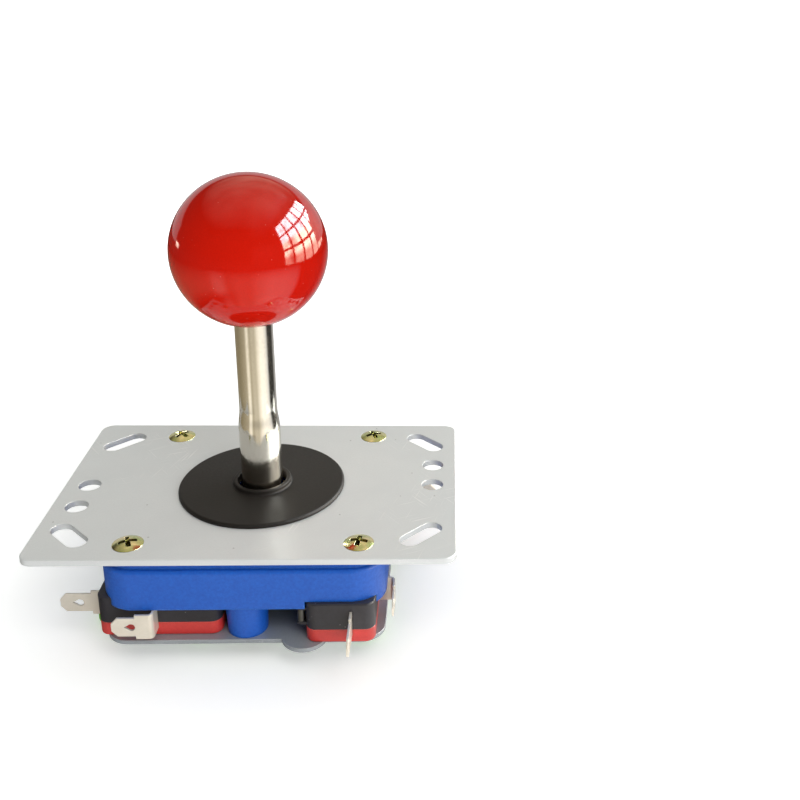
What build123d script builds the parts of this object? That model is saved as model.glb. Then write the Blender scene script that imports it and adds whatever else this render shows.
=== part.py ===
from build123d import *
import os
from math import acos, atan2, cos, degrees, hypot, radians, sin, sqrt, tan

# Arcade joystick: a ball-top lever that tilts in a moulded housing and works four microswitches.
# Millimetres. Z = 0 is the top face of the mounting plate, X runs along its long side,
# and the lever stands on the Z axis at rest. The switches sit in a pinwheel about that axis.

# Mounting plate
plate_length = 97.0
plate_over = 0.25
plate_thick = 1.5
plate_corner = 3.0
plate_edge = 0.2
slot_width = 5.0
slot_length = 11.8
slot_from_end = 8.3
slot_from_side = 10.0
end_hole_d = 5.4
end_hole_from_end = 6.0
end_hole_y = 10.0
plate_bore_d = 23.0
plate_screw_inset = 6.25
sink_slope = 1.4

# Lever
ball_d = 36.0
ball_height = 61.9
ball_flat_r = 6.5
shaft_d = 10.0
neck_d = 9.0
flare_bottom = 16.0
flare_top = 22.0
thread_d = 6.0
thread_length = 11.0
shaft_end = 27.4
end_chamfer = 0.8
slot_cut = 0.9
slot_cut_depth = 1.2
slot_cut_angle = -23.3
shoulder_d = 12.4
shoulder_high = 1.0
tilt_deg = 7.0
pivot_depth = 2.0

# Clearances, from a close fit to a turning one; how far a cut runs past the face that it opens;
# and the most of a wall that a fillet may take
fit_gap = 0.05
slip_gap = 0.1
loose_gap = 0.15
screw_gap = 0.2
running_gap = 0.25
head_gap = 0.4
past = 1.0
fillet_share = 0.9

# Dust washer
washer_d = 40.5
washer_thick = 1.0
washer_rim = 0.6
washer_bevel = 0.4
washer_rise = 0.1
collar_height = 2.2
collar_wall = 1.1
collar_root = 0.7
collar_edge = 0.3

# Pivot
bush_r = 8.5
cup_wall = 1.5
bush_top = 3.2
bush_bottom = 8.2
cup_rim_angle = 78.0
cup_mouth_angle = 44.0

# Housing
housing_corner = 8.0
housing_edge = 0.8
band_inset = 1.3
band_high = 1.9
housing_bottom = 13.5
wall = 2.2
roof = 2.6
hub_bottom = 10.4
pocket_side = 1.7
pocket_corner = 1.5
rib_thick = 1.2
screw_boss_r = 3.4
post_top_d = 10.2
post_bottom_d = 9.2
post_inset = 0.15
post_room = 0.4

# Microswitches, one described at the front, the others turned about Z
switch_length = 27.8
switch_width = 15.9
case_below_housing = 4.9
case_high = 6.8
cover_high = 3.5
switch_corner = 2.4
switch_proud = 1.05
switch_inner = 14.1
switch_edge = 0.4
switch_hole_d = 3.1
switch_hole_end = 2.8
switch_hole_inner = 2.9
plunger_d = 2.4
plunger_from_inner_end = 7.7
plunger_travel = 0.6
plunger_inside = 4.0
plunger_round = 0.5
lever_thick = 0.4
lever_width = 3.2
lever_above_middle = 0.85
lever_rise_deg = 1.8
lever_tip_x = 1.5
hinge_from_end = 2.7
hinge_off = 1.15
hinge_pin_d = 1.0
hinge_pin_in_ear = 0.1
hinge_ear = 0.6
hinge_ear_root = 0.5
blade_thick = 0.5
blade_width = 4.75
shoulder_width = 6.3
shoulder_length = 2.8
end_blade_in = 10.4
end_blade_out = 9.9
common_from_end = 13.3
common_out = 3.8
common_length = 9.0
common_bend = 0.9
blade_hole_d = 1.8
blade_hole_from_tip = 4.4
blade_hole_point = 1.7
blade_tip = 1.3
blade_tip_side = 1.43
blade_seat = 1.5

# Base plate
base_inset = 0.25
base_corner = 5.5
base_thick = 1.2
lobe_r = 5.3
lobe_out = 3.5
lobe_along = 13.5

# Actuator, spring and ring
actuator_top = 13.5
skirt_bottom = 18.8
skirt_room = 4.0
step_r = 7.3
step_at = 21.2
boss_r = 6.0
boss_end = 25.2
boss_edge = 0.3
boss_draft = 0.2
boss_flare = 1.2
skirt_edge = 0.5
pocket_wall = 0.85
pocket_floor = 18.0
spring_hub_r = 6.7
spring_wire = 1.0
spring_coils = 3.5
seat_washer_thick = 1.0
seat_washer_r = 10.0
ring_thick = 0.9
ring_groove_depth = 0.6
ring_back = 1.5
ring_off_centre = 0.3
ring_lug_r = 1.35
ring_lug_out = 0.85
ring_lug_hole_d = 1.4
ring_lug_cut = 0.3
ring_gap_angle = 163.5
ring_lug_angle = 26.0

# Gate. Its places are (u, v) as seen from below, long side upright: u to the right, v downwards
window = 20.8
window_corner = 5.5
gate_base_thick = 2.5
gate_plate_thick = 2.5
gate_half_width = 19.6
gate_back = 38.7
gate_front = 29.2
gate_corner = 6.0
gate_edge = 0.4
gate_screw_at = 16.5
peg_d = 2.8
peg_high = 0.8
peg_root = 0.5
peg_round = 0.4
gate_lobes = [(-19.0, -35.1, 3.6), (-19.9, -12.4, 4.5), (-20.1, 2.2, 4.0), (19.7, -12.2, 4.0),
              (19.9, 11.3, 4.0), (20.0, 25.8, 4.4)]
gate_holes = [(-11.0, -35.2), (11.0, -35.2), (-15.8, -24.0), (15.8, -24.0), (-16.4, 13.9), (16.4, 13.9),
              (-11.6, 25.6), (11.6, 25.6)]
gate_dimples = [(-11.5, -12.3), (11.5, -12.3), (-11.6, 11.2), (11.6, 11.2)]
gate_pegs = [(-11.5, -30.2), (11.5, -30.2), (-9.5, 19.8), (11.5, 19.6)]
lobe_hole_d = 3.4
gate_hole_d = 4.2
dimple_depth = 1.2
ring_opening_r = 10.2
ring_opening_v = -23.8
channel_half = 6.4
channel_end_v = 17.8
gate_arm = (9.0, -20.6)
gate_arm_r = 3.1
gate_arm_hole_d = 3.0
gate_tongue_v = 15.0
gate_tongue_r = 6.2
gate_ear_r = 3.8
gate_side_ear_r = 4.6
gate_frame_wall = 3.6
notch_r = 4.9
notch_round = 2.5
back_notch_out = 1.5
front_notch_out = 0.5

# Screws
plate_screw_head_d = 7.0
plate_screw_dome = 0.9
plate_screw_shank_d = 3.4
plate_screw_length = 9.0
pan_head_d = 6.0
pan_head_round = 0.6
base_head_high = 2.2
gate_head_high = 1.6
pan_shank_d = 2.9
base_screw_length = 9.0
gate_screw_length = 6.5
cross_width = 1.1
cross_span = 3.6
cross_depth = 1.0
first_stop = 20
next_stop = 31

# Places that follow from the sizes above
corner_tilt = acos(cos(radians(tilt_deg)) ** 2)
shaft_r = shaft_d / 2
ball_seat = ball_height - sqrt((ball_d / 2) ** 2 - ball_flat_r ** 2)
pivot_z = -pivot_depth
housing_half = switch_inner + switch_width + fit_gap + wall
housing_width = 2 * housing_half
plate_width = housing_width + 2 * plate_over
base_width = housing_width - 2 * base_inset
plate_screw_at = housing_half - plate_screw_inset
sink_depth = (plate_screw_head_d - plate_screw_shank_d) / 2 / sink_slope
end_hole_x = plate_length / 2 - end_hole_from_end
slot_x = plate_length / 2 - slot_from_end
slot_y = plate_width / 2 - slot_from_side
switch_end = housing_half + switch_proud
switch_near = switch_end - switch_length
post_at = housing_half - post_inset - post_top_d / 2
post_x = post_top_d / 2 + post_room - switch_near
end_blade_y = switch_inner + end_blade_in
common_x = switch_end - common_from_end
plate_bottom = -plate_thick
case_bottom = -(housing_bottom + case_below_housing)
case_top = case_bottom + case_high
base_top = case_bottom - cover_high
base_bottom = base_top - base_thick
gate_base_bottom = base_bottom - gate_base_thick
gate_bottom = gate_base_bottom - gate_plate_thick
switch_mid_z = (case_top + base_top) / 2
lever_z = switch_mid_z + lever_above_middle
roof_under = plate_bottom - band_high - roof
seat_r = bush_r + cup_wall + 2 * running_gap


def sweep_radius(depth):
    """Radius that the tilting shaft sweeps at a depth below, or a height above, the pivot."""
    return shaft_r / cos(corner_tilt) + abs(depth) * tan(corner_tilt)


def save(shape, name):
    export_step(shape, f"parts/{name}.step")


def disc(radius, z_low, z_high, x=0.0, y=0.0):
    """A round solid from z_low to z_high."""
    return Pos(x, y, z_low) * Cylinder(radius, z_high - z_low, align=(Align.CENTER, Align.CENTER, Align.MIN))


def slab(length, width, corner, z_low, z_high, x=0.0, y=0.0):
    """A plate with rounded corners from z_low to z_high."""
    outline = Pos(x, y, z_low) * RectangleRounded(length, width, corner)
    return extrude(outline, z_high - z_low)


def block(x_low, x_high, y_low, y_high, z_low, z_high):
    """A plain block between two corners."""
    size = (x_high - x_low, y_high - y_low, z_high - z_low)
    return Pos(x_low, y_low, z_low) * Box(*size, align=(Align.MIN, Align.MIN, Align.MIN))


def four_places(x, y):
    """A place and its three quarter turns about Z."""
    return [(x, y), (-y, x), (-x, -y), (y, -x)]


def four_turns(make):
    """The four solids of a pinwheel, a quarter turn apart, that a function of no arguments makes."""
    return [Rot(0, 0, 90 * turn) * make() for turn in range(4)]


# Mounting plate: sheet steel, with slots across its corners and two round holes at each end
def countersink(x, y):
    cone = Cone(plate_screw_shank_d / 2 + fit_gap, plate_screw_head_d / 2 + fit_gap, sink_depth,
                align=(Align.CENTER, Align.CENTER, Align.MAX))
    through = disc(plate_screw_shank_d / 2 + fit_gap, plate_bottom - past, past, x, y)
    return Pos(x, y, 0) * cone + through


def mounting_plate():
    plate = slab(plate_length, plate_width, plate_corner, plate_bottom, 0)
    plate = chamfer(plate.faces().sort_by(Axis.Z)[-1].edges(), plate_edge)
    plate -= disc(plate_bore_d / 2, plate_bottom - past, past)
    for sx in (-1, 1):
        for sy in (-1, 1):
            slot = Rot(0, 0, 45 * -sx * sy) * SlotOverall(slot_length, slot_width)
            slot_place = Pos(sx * slot_x, sy * slot_y, plate_bottom - past)
            plate -= extrude(slot_place * slot, plate_thick + 2 * past)
            plate -= countersink(sx * plate_screw_at, sy * plate_screw_at)
        plate -= disc(end_hole_d / 2, plate_bottom - past, past, sx * end_hole_x, 0)
        plate -= disc(end_hole_d / 2, plate_bottom - past, past, sx * end_hole_x, sx * end_hole_y)
    return plate


# Dust washer: lies loose on the plate, and its collar clears the tilting shaft
def dust_washer():
    bore = sweep_radius(collar_height + pivot_depth) + loose_gap
    collar = bore + collar_wall
    rim = washer_d / 2
    root_z = washer_thick + washer_rise
    collar_side = collar_height - collar_edge - root_z
    with BuildPart() as part:
        with BuildSketch(Plane.XZ) as profile:
            with BuildLine():
                Polyline((bore, 0), (rim, 0), (rim, washer_rim), (rim - washer_bevel, washer_thick),
                         (collar, root_z), (collar, collar_height - collar_edge),
                         (collar - collar_edge, collar_height), (bore, collar_height), (bore, 0))
            make_face()
            root = profile.vertices().sort_by_distance((collar, root_z))[0]
            fillet(root, min(collar_root, fillet_share * collar_side))
        revolve(axis=Axis.Z)
    return part.part


# Shaft: one turned bar with a flare, a shoulder over the pivot, a ring groove and a slotted end
def shaft():
    neck = neck_d / 2
    groove_top = -boss_end - fit_gap
    groove_bottom = groove_top - ring_thick - fit_gap
    groove_r = shaft_r - ring_groove_depth
    shoulder_bottom = -bush_top + fit_gap
    with BuildPart() as part:
        with BuildSketch(Plane.XZ):
            with BuildLine():
                Polyline((0, -shaft_end), (shaft_r - end_chamfer, -shaft_end),
                         (shaft_r, -shaft_end + end_chamfer), (shaft_r, groove_bottom),
                         (groove_r, groove_bottom), (groove_r, groove_top), (shaft_r, groove_top),
                         (shaft_r, shoulder_bottom), (shoulder_d / 2, shoulder_bottom),
                         (shoulder_d / 2, shoulder_bottom + shoulder_high),
                         (shaft_r, shoulder_bottom + shoulder_high), (shaft_r, flare_bottom))
                Spline((shaft_r, flare_bottom), (neck, flare_top), tangents=((0, 1), (0, 1)))
                Polyline((neck, flare_top), (neck, ball_seat), (thread_d / 2, ball_seat),
                         (thread_d / 2, ball_seat + thread_length), (0, ball_seat + thread_length),
                         (0, -shaft_end))
            make_face()
        revolve(axis=Axis.Z)
    cut = Pos(0, 0, -shaft_end) * Box(shaft_d + 2 * past, slot_cut, 2 * slot_cut_depth)
    return part.part - Rot(0, 0, slot_cut_angle) * cut


def ball_top():
    ball = Pos(0, 0, ball_height) * Sphere(ball_d / 2)
    ball -= disc(ball_d, ball_height - ball_d, ball_seat)
    return ball - disc(thread_d / 2 + fit_gap, ball_seat - past, ball_seat + thread_length + head_gap)


# Pivot: a ball zone on the shaft, in a cup that can turn in the housing's round seat
def pivot_bush():
    bush = Pos(0, 0, pivot_z) * Sphere(bush_r)
    bush -= disc(2 * bush_r, -bush_top, bush_r)
    bush -= disc(2 * bush_r, -3 * bush_r, -bush_bottom)
    return bush - disc(shaft_r + fit_gap, -3 * bush_r, bush_r)


def pivot_cup():
    inner = bush_r + running_gap
    outer = inner + cup_wall
    rim = radians(cup_rim_angle)
    mouth = radians(cup_mouth_angle)
    middle = (rim + mouth) / 2

    def at(radius, angle):
        return (radius * sin(angle), pivot_z - radius * cos(angle))
    with BuildPart() as part:
        with BuildSketch(Plane.XZ):
            with BuildLine():
                ThreePointArc(at(inner, mouth), at(inner, middle), at(inner, rim))
                Line(at(inner, rim), at(outer, rim))
                ThreePointArc(at(outer, rim), at(outer, middle), at(outer, mouth))
                Line(at(outer, mouth), at(inner, mouth))
            make_face()
        revolve(axis=Axis.Z)
    return part.part


# Housing: a shallow blue tray, open below, with a round seat in its hub, ribs, posts and pegs
def switch_room():
    """Space that a switch takes under the roof, at the front."""
    return block(-switch_end - past, -switch_near + slip_gap, -switch_inner - switch_width - slip_gap,
                 -switch_inner + slip_gap, case_bottom, case_top)


def switch_holes(radius, z_low, z_high):
    """The two round holes of the front switch, as solids."""
    y = -switch_inner - switch_hole_inner
    first = -switch_end + switch_hole_end
    second = -switch_end + switch_length - switch_hole_end
    return [disc(radius, z_low, z_high, x, y) for x in (first, second)]


def screw_post():
    """The front post: it hangs from the roof down to the base plate, a little thinner at its foot."""
    post = Cone(post_bottom_d / 2, post_top_d / 2, roof_under - base_top,
                align=(Align.CENTER, Align.CENTER, Align.MIN))
    return Pos(post_x, -post_at, base_top) * post


def core_pocket():
    """A pocket above the front switch, between its pegs, so that no wall is thick. A rib divides it."""
    length = switch_length - 4 * switch_hole_end
    width = switch_width - 2 * pocket_side
    x = -switch_end + switch_length / 2
    y = -switch_inner - switch_width / 2
    pocket = slab(length, width, pocket_corner, case_top - past, roof_under, x, y)
    half_rib = rib_thick / 2
    return pocket - block(x - half_rib, x + half_rib, y - width, y + width, case_top, roof_under + past)


def screw_boss():
    """The front left plate screw's boss: it hangs from the roof almost to the switch."""
    return disc(screw_boss_r, case_top + slip_gap, roof_under, -plate_screw_at, -plate_screw_at)


def housing():
    low = -housing_bottom
    shoulder = plate_bottom - band_high
    body = slab(housing_width, housing_width, housing_corner, low, shoulder)
    body = fillet(body.faces().sort_by(Axis.Z)[-1].edges(), housing_edge)
    band = housing_width - 2 * band_inset
    body += slab(band, band, housing_corner - band_inset, shoulder, plate_bottom)
    inside = housing_width - 2 * wall
    body -= slab(inside, inside, housing_corner - wall, low - past, case_top)
    for room in four_turns(switch_room):
        body -= room
    for pocket in four_turns(core_pocket):
        body -= pocket
    for boss in four_turns(screw_boss):
        body += boss
    body -= disc(skirt_radius() + skirt_room, low - past, -hub_bottom)
    for post in four_turns(screw_post):
        body += post
    for peg in range(4):
        for solid in switch_holes(switch_hole_d / 2 - loose_gap, case_bottom + past, case_top + past):
            body += Rot(0, 0, 90 * peg) * solid
    body -= Pos(0, 0, pivot_z) * Sphere(seat_r)
    body -= disc(seat_r, pivot_z, past)
    body -= disc(sweep_radius(hub_bottom + pivot_z) + 2 * running_gap, low - past, pivot_z)
    for sx in (-1, 1):
        for sy in (-1, 1):
            body -= disc(plate_screw_shank_d / 2 + fit_gap, -plate_screw_length - past, past,
                         sx * plate_screw_at, sy * plate_screw_at)
    for x, y in four_places(post_x, -post_at):
        hole_top = base_bottom + base_screw_length + past
        body -= disc(pan_shank_d / 2 + fit_gap, base_top - past, hole_top, x, y)
    return body


# Switch pieces, at the front: X from -switch_end inwards, Y from -switch_inner outwards
hinge_x = -switch_end + hinge_from_end
hinge_y = -switch_inner + hinge_off
plunger_x = -switch_near - plunger_from_inner_end
lever_rise = tan(radians(lever_rise_deg))


def lever_back(x):
    """Y of the lever's back face at a place along it, at rest."""
    return hinge_y + (x - hinge_x) * lever_rise


def switch_body(z_low, z_high, soft_face):
    """A half of the switch's body. The face with soft edges is the lowest, 0, or the highest, -1."""
    x = -switch_end + switch_length / 2
    y = -switch_inner - switch_width / 2
    body = slab(switch_length, switch_width, switch_corner, z_low, z_high, x, y)
    body = fillet(body.faces().sort_by(Axis.Z)[soft_face].edges(), switch_edge)
    for hole in switch_holes(switch_hole_d / 2, z_low - past, z_high + past):
        body -= hole
    half_slot = blade_thick / 2 + fit_gap
    half_high = shoulder_width / 2 + fit_gap
    body -= block(-switch_end - past, -switch_end + blade_seat + fit_gap, -end_blade_y - half_slot,
                  -end_blade_y + half_slot, switch_mid_z - half_high, switch_mid_z + half_high)
    outer = -switch_inner - switch_width
    body -= block(-common_x - half_slot, -common_x + half_slot, outer - past,
                  outer + blade_seat + fit_gap, switch_mid_z - half_high, switch_mid_z + half_high)
    return body


def plunger_bore(radius, y_low, y_high):
    """A round solid along Y at the plunger's place."""
    rod = Cylinder(radius, y_high - y_low, align=(Align.CENTER, Align.CENTER, Align.MIN))
    return Pos(plunger_x, y_high, lever_z) * Rot(90, 0, 0) * rod


def switch_case():
    body = switch_body(case_bottom, case_top, -1)
    ear_z = lever_width / 2 + slip_gap
    pin_half = ear_z + hinge_pin_in_ear
    for side in (-1, 1):
        z_near = lever_z + side * ear_z
        z_far = z_near + side * hinge_ear
        low, high = min(z_near, z_far), max(z_near, z_far)
        ear = disc(hinge_pin_d, low, high, hinge_x, hinge_y)
        ear += block(hinge_x - hinge_pin_d, hinge_x + hinge_pin_d, -switch_inner - hinge_ear_root, hinge_y,
                     low, high)
        body += ear
    body += disc(hinge_pin_d / 2, lever_z - pin_half, lever_z + pin_half, hinge_x, hinge_y)
    deep = -switch_inner - plunger_inside - plunger_travel - slip_gap
    return body - plunger_bore(plunger_d / 2 + fit_gap, deep, -switch_inner + past)


def switch_cover():
    return switch_body(base_top, case_bottom, 0)


def plunger():
    tip = lever_back(plunger_x) - fit_gap
    rod = plunger_bore(plunger_d / 2, -switch_inner - plunger_inside, tip)
    return fillet(rod.faces().sort_by(Axis.Y)[-1].edges(), plunger_round)


def switch_lever():
    eye_r = hinge_pin_d / 2 + fit_gap
    low = lever_z - lever_width / 2
    high = lever_z + lever_width / 2
    strip = block(0, (lever_tip_x - hinge_x) / cos(radians(lever_rise_deg)), 0, lever_thick, low, high)
    strip = Pos(hinge_x, hinge_y, 0) * Rot(0, 0, lever_rise_deg) * strip
    eye = disc(eye_r + lever_thick, low, high, hinge_x, hinge_y)
    return strip + eye - disc(eye_r, low - past, high + past, hinge_x, hinge_y)


def blade_outline(length):
    """A solder blade that points along +X from its shoulder at X = 0."""
    half = blade_width / 2
    tip_half = half - blade_tip_side
    tip_x = length - blade_tip
    hole_x = length - blade_hole_from_tip
    with BuildSketch() as sketch:
        with BuildLine():
            Polyline((0, -shoulder_width / 2), (shoulder_length, -shoulder_width / 2),
                     (shoulder_length, -half), (tip_x, -half), (length, -tip_half), (length, tip_half),
                     (tip_x, half), (shoulder_length, half),
                     (shoulder_length, shoulder_width / 2), (0, shoulder_width / 2),
                     (0, -shoulder_width / 2))
        make_face()
        with Locations((hole_x, 0)):
            Circle(blade_hole_d / 2, mode=Mode.SUBTRACT)
        with BuildLine():
            Polyline((hole_x, blade_hole_d / 2), (hole_x + blade_hole_point, 0), (hole_x, -blade_hole_d / 2),
                     (hole_x, blade_hole_d / 2))
        make_face(mode=Mode.SUBTRACT)
    return sketch.sketch


def end_blade():
    flat = extrude(blade_outline(end_blade_out), blade_thick / 2, both=True)
    blade = Pos(-switch_end, -end_blade_y, switch_mid_z) * Rot(0, 0, 180) * Rot(90, 0, 0) * flat
    seat = block(-switch_end, -switch_end + blade_seat, -end_blade_y - blade_thick / 2,
                 -end_blade_y + blade_thick / 2, switch_mid_z - blade_width / 2,
                 switch_mid_z + blade_width / 2)
    return blade + seat


def common_blade():
    outer = -switch_inner - switch_width
    plane_y = outer - common_out
    reach = common_length - common_bend
    flat = extrude(blade_outline(reach), blade_thick / 2, both=True)
    blade = Pos(-common_x - common_bend, plane_y, switch_mid_z) * Rot(0, 0, 180) * Rot(90, 0, 0) * flat
    with BuildSketch(Plane.XY) as bend:
        with BuildLine():
            inner_r = common_bend - blade_thick / 2
            outer_r = common_bend + blade_thick / 2
            centre = (-common_x - common_bend, plane_y + common_bend)
            CenterArc(centre, outer_r, -90, 90)
            Line((centre[0] + outer_r, centre[1]), (centre[0] + inner_r, centre[1]))
            CenterArc(centre, inner_r, -90, 90)
            Line((centre[0], centre[1] - inner_r), (centre[0], centre[1] - outer_r))
        make_face()
    corner = Pos(0, 0, switch_mid_z) * extrude(bend.sketch, shoulder_width / 2, both=True)
    leg = block(-common_x - blade_thick / 2, -common_x + blade_thick / 2, plane_y + common_bend,
                outer + blade_seat, switch_mid_z - shoulder_width / 2, switch_mid_z + shoulder_width / 2)
    return blade + corner + leg


# Base plate: square sheet with a lobe on each side, the lever's window and the screw holes
def base_plate():
    lobe_y = base_width / 2 + lobe_out - lobe_r
    with BuildSketch() as sketch:
        RectangleRounded(base_width, base_width, base_corner)
        with PolarLocations(hypot(lobe_along, lobe_y), 4, degrees(atan2(-lobe_y, lobe_along))):
            Circle(lobe_r)
        RectangleRounded(window, window, window_corner, mode=Mode.SUBTRACT)
        with Locations(*four_places(post_x, -post_at)):
            Circle(pan_shank_d / 2 + screw_gap, mode=Mode.SUBTRACT)
        with PolarLocations(gate_screw_at, 4):
            Circle(pan_shank_d / 2 + fit_gap, mode=Mode.SUBTRACT)
        with Locations((switch_end - switch_hole_end, switch_inner + switch_hole_inner)):
            Circle(switch_hole_d / 2, mode=Mode.SUBTRACT)
    plate = extrude(Pos(0, 0, base_bottom) * sketch.sketch, base_thick)
    return chamfer(plate.faces().sort_by(Axis.Z)[0].outer_wire().edges(), plate_edge)


# Spring washer, spring and actuator under the housing's hub
def seat_washer():
    top = -hub_bottom
    bottom = top - seat_washer_thick
    bore = sweep_radius(-bottom + pivot_z) + loose_gap
    return disc(seat_washer_r, bottom, top) - disc(bore, bottom - past, top + past)


def skirt_radius():
    """The skirt just clears the front lever's face when the lever is tilted all the way."""
    lever_face = -(lever_back(0) + lever_thick)
    arm = pivot_z - (lever_z - lever_width / 2)
    tilt = radians(tilt_deg)
    return (lever_face - loose_gap - arm * tan(tilt)) * cos(tilt)


def spring():
    skirt = skirt_radius()
    coil_r = (spring_hub_r + skirt - pocket_wall) / 2
    top = -hub_bottom - seat_washer_thick - spring_wire / 2
    bottom = -pocket_floor + spring_wire / 2
    helix = Pos(0, 0, bottom) * Helix((top - bottom) / spring_coils, top - bottom, coil_r)
    start = Plane(origin=helix @ 0, z_dir=helix % 0)
    return sweep(start * Circle(spring_wire / 2), path=helix)


def actuator():
    skirt = skirt_radius()
    top = -actuator_top
    with BuildPart() as part:
        with BuildSketch(Plane.XZ):
            with BuildLine():
                Polyline((shaft_r + fit_gap, -boss_end), (boss_r - boss_edge, -boss_end),
                         (boss_r, -boss_end + boss_edge), (boss_r + boss_draft, -step_at - boss_flare),
                         (step_r, -step_at), (skirt - skirt_edge, -skirt_bottom),
                         (skirt, -skirt_bottom + skirt_edge), (skirt, top),
                         (skirt - pocket_wall, top), (skirt - pocket_wall, -pocket_floor),
                         (spring_hub_r, -pocket_floor), (spring_hub_r, top), (shaft_r + fit_gap, top),
                         (shaft_r + fit_gap, -boss_end))
            make_face()
        revolve(axis=Axis.Z)
    return part.part


# Retaining ring: widest opposite its gap, with a holed lug at each end
def retaining_ring():
    inner = shaft_r - ring_groove_depth + fit_gap
    top = -boss_end - fit_gap
    bottom = top - ring_thick
    lug_at = shaft_r + ring_lug_out
    body = disc(inner + ring_back, bottom, top, -ring_off_centre, 0)
    lugs = []
    for side in (-1, 1):
        angle = radians(side * ring_lug_angle)
        x, y = lug_at * cos(angle), lug_at * sin(angle)
        body += disc(ring_lug_r, bottom, top, x, y)
        lugs.append((x, y))
    half_gap = lug_at * sin(radians(ring_lug_angle)) - ring_lug_r + ring_lug_cut
    body -= block(0, 3 * shaft_r, -half_gap, half_gap, bottom - past, top + past)
    body -= disc(inner, bottom - past, top + past)
    for x, y in lugs:
        body -= disc(ring_lug_hole_d / 2, bottom - past, top + past, x, y)
    return Rot(0, 0, ring_gap_angle) * body


# Gate pieces
def gate_place(u, v):
    """A place on the gate, seen from below, in the part's own X and Y."""
    return (v, -u)


def gate_plate():
    centre_x = (gate_front - gate_back) / 2
    with BuildSketch() as sketch:
        with Locations((centre_x, 0)):
            RectangleRounded(gate_front + gate_back, 2 * gate_half_width, gate_corner)
        with Locations((-gate_back - back_notch_out, 0), (gate_front + front_notch_out, 0)):
            Circle(notch_r, mode=Mode.SUBTRACT)
        fillet(sketch.vertices().filter_by(lambda v: abs(v.Y) <= notch_r), notch_round)
        for u, v, radius in gate_lobes:
            with Locations(gate_place(u, v)):
                Circle(radius)
        for u, v, radius in gate_lobes:
            with Locations(gate_place(u, v)):
                Circle(lobe_hole_d / 2, mode=Mode.SUBTRACT)
        for u, v in gate_holes:
            with Locations(gate_place(u, v)):
                Circle(gate_hole_d / 2, mode=Mode.SUBTRACT)
        RectangleRounded(window, window, window_corner, mode=Mode.SUBTRACT)
        with Locations(gate_place(0, ring_opening_v)):
            Circle(ring_opening_r, mode=Mode.SUBTRACT)
        with Locations((channel_end_v / 2, 0)):
            Rectangle(channel_end_v, 2 * channel_half, mode=Mode.SUBTRACT)
        with Locations(gate_place(0, channel_end_v)):
            Circle(channel_half, mode=Mode.SUBTRACT)
        with Locations((-gate_screw_at, 0)):
            Circle(pan_head_d / 2 + head_gap, mode=Mode.SUBTRACT)
    plate = extrude(Pos(0, 0, gate_bottom) * sketch.sketch, gate_plate_thick)
    plate = chamfer(plate.faces().sort_by(Axis.Z)[0].outer_wire().edges(), gate_edge)
    for u, v in gate_dimples:
        x, y = gate_place(u, v)
        plate -= disc(gate_hole_d / 2, gate_bottom - past, gate_bottom + dimple_depth, x, y)
    for side in (-1, 1):
        y = side * gate_screw_at
        plate -= disc(pan_head_d / 2 + screw_gap, gate_bottom - past, gate_bottom + gate_head_high, 0, y)
        plate -= disc(pan_shank_d / 2 + loose_gap, gate_bottom - past, gate_base_bottom + past, 0, y)
    for u, v in gate_pegs:
        x, y = gate_place(u, v)
        peg = disc(peg_d / 2, gate_bottom - peg_high, gate_bottom + peg_root, x, y)
        plate += fillet(peg.faces().sort_by(Axis.Z)[0].edges(), peg_round)
    return plate


def gate_base():
    frame = window / 2 + gate_frame_wall
    with BuildSketch() as sketch:
        RectangleRounded(2 * frame, 2 * frame, window_corner)
        with Locations(gate_place(0, -gate_screw_at)):
            Circle(gate_ear_r)
        with Locations(gate_place(gate_screw_at, 0), gate_place(-gate_screw_at, 0)):
            Circle(gate_side_ear_r)
        with Locations(gate_place(0, gate_tongue_v)):
            Circle(gate_tongue_r)
        arm = gate_place(*gate_arm)
        with Locations((-frame, arm[1])):
            Rectangle(2 * (-frame - arm[0]), 2 * gate_arm_r)
        with Locations(arm):
            Circle(gate_arm_r)
        RectangleRounded(window, window, window_corner, mode=Mode.SUBTRACT)
        with PolarLocations(gate_screw_at, 4):
            Circle(pan_shank_d / 2 + loose_gap, mode=Mode.SUBTRACT)
        with Locations(arm):
            Circle(gate_arm_hole_d / 2, mode=Mode.SUBTRACT)
    return extrude(Pos(0, 0, gate_base_bottom) * sketch.sketch, gate_base_thick)


# Screws: a head, a shank and a cross recess, built pointing up from the head's seat
def cross_recess(z_low, z_high):
    cross = block(-cross_span / 2, cross_span / 2, -cross_width / 2, cross_width / 2, z_low, z_high)
    return cross + Rot(0, 0, 90) * cross


def pan_screw(head_high, length):
    """A pan-head screw with its head below Z = 0 and its shank above."""
    head = disc(pan_head_d / 2, -head_high, 0)
    head = fillet(head.faces().sort_by(Axis.Z)[0].edges(), head_high * pan_head_round)
    screw = head + disc(pan_shank_d / 2, 0, length)
    return screw - cross_recess(-head_high - past, -head_high + cross_depth)


def plate_screw():
    """A raised countersunk screw with its rim at Z = 0."""
    head_r = plate_screw_head_d / 2
    shank_r = plate_screw_shank_d / 2
    dome_r = (head_r ** 2 + plate_screw_dome ** 2) / (2 * plate_screw_dome)
    with BuildPart() as part:
        with BuildSketch(Plane.XZ):
            with BuildLine():
                Polyline((0, plate_screw_dome), (0, -plate_screw_length), (shank_r, -plate_screw_length),
                         (shank_r, -sink_depth), (head_r, 0))
                RadiusArc((head_r, 0), (0, plate_screw_dome), -dome_r)
            make_face()
        revolve(axis=Axis.Z)
    return part.part - cross_recess(plate_screw_dome - cross_depth, plate_screw_dome + past)


def plate_screws():
    places = [(sx * plate_screw_at, sy * plate_screw_at) for sx in (-1, 1) for sy in (-1, 1)]
    return [Pos(x, y, 0) * Rot(0, 0, first_stop + next_stop * i) * plate_screw()
            for i, (x, y) in enumerate(places)]


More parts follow.
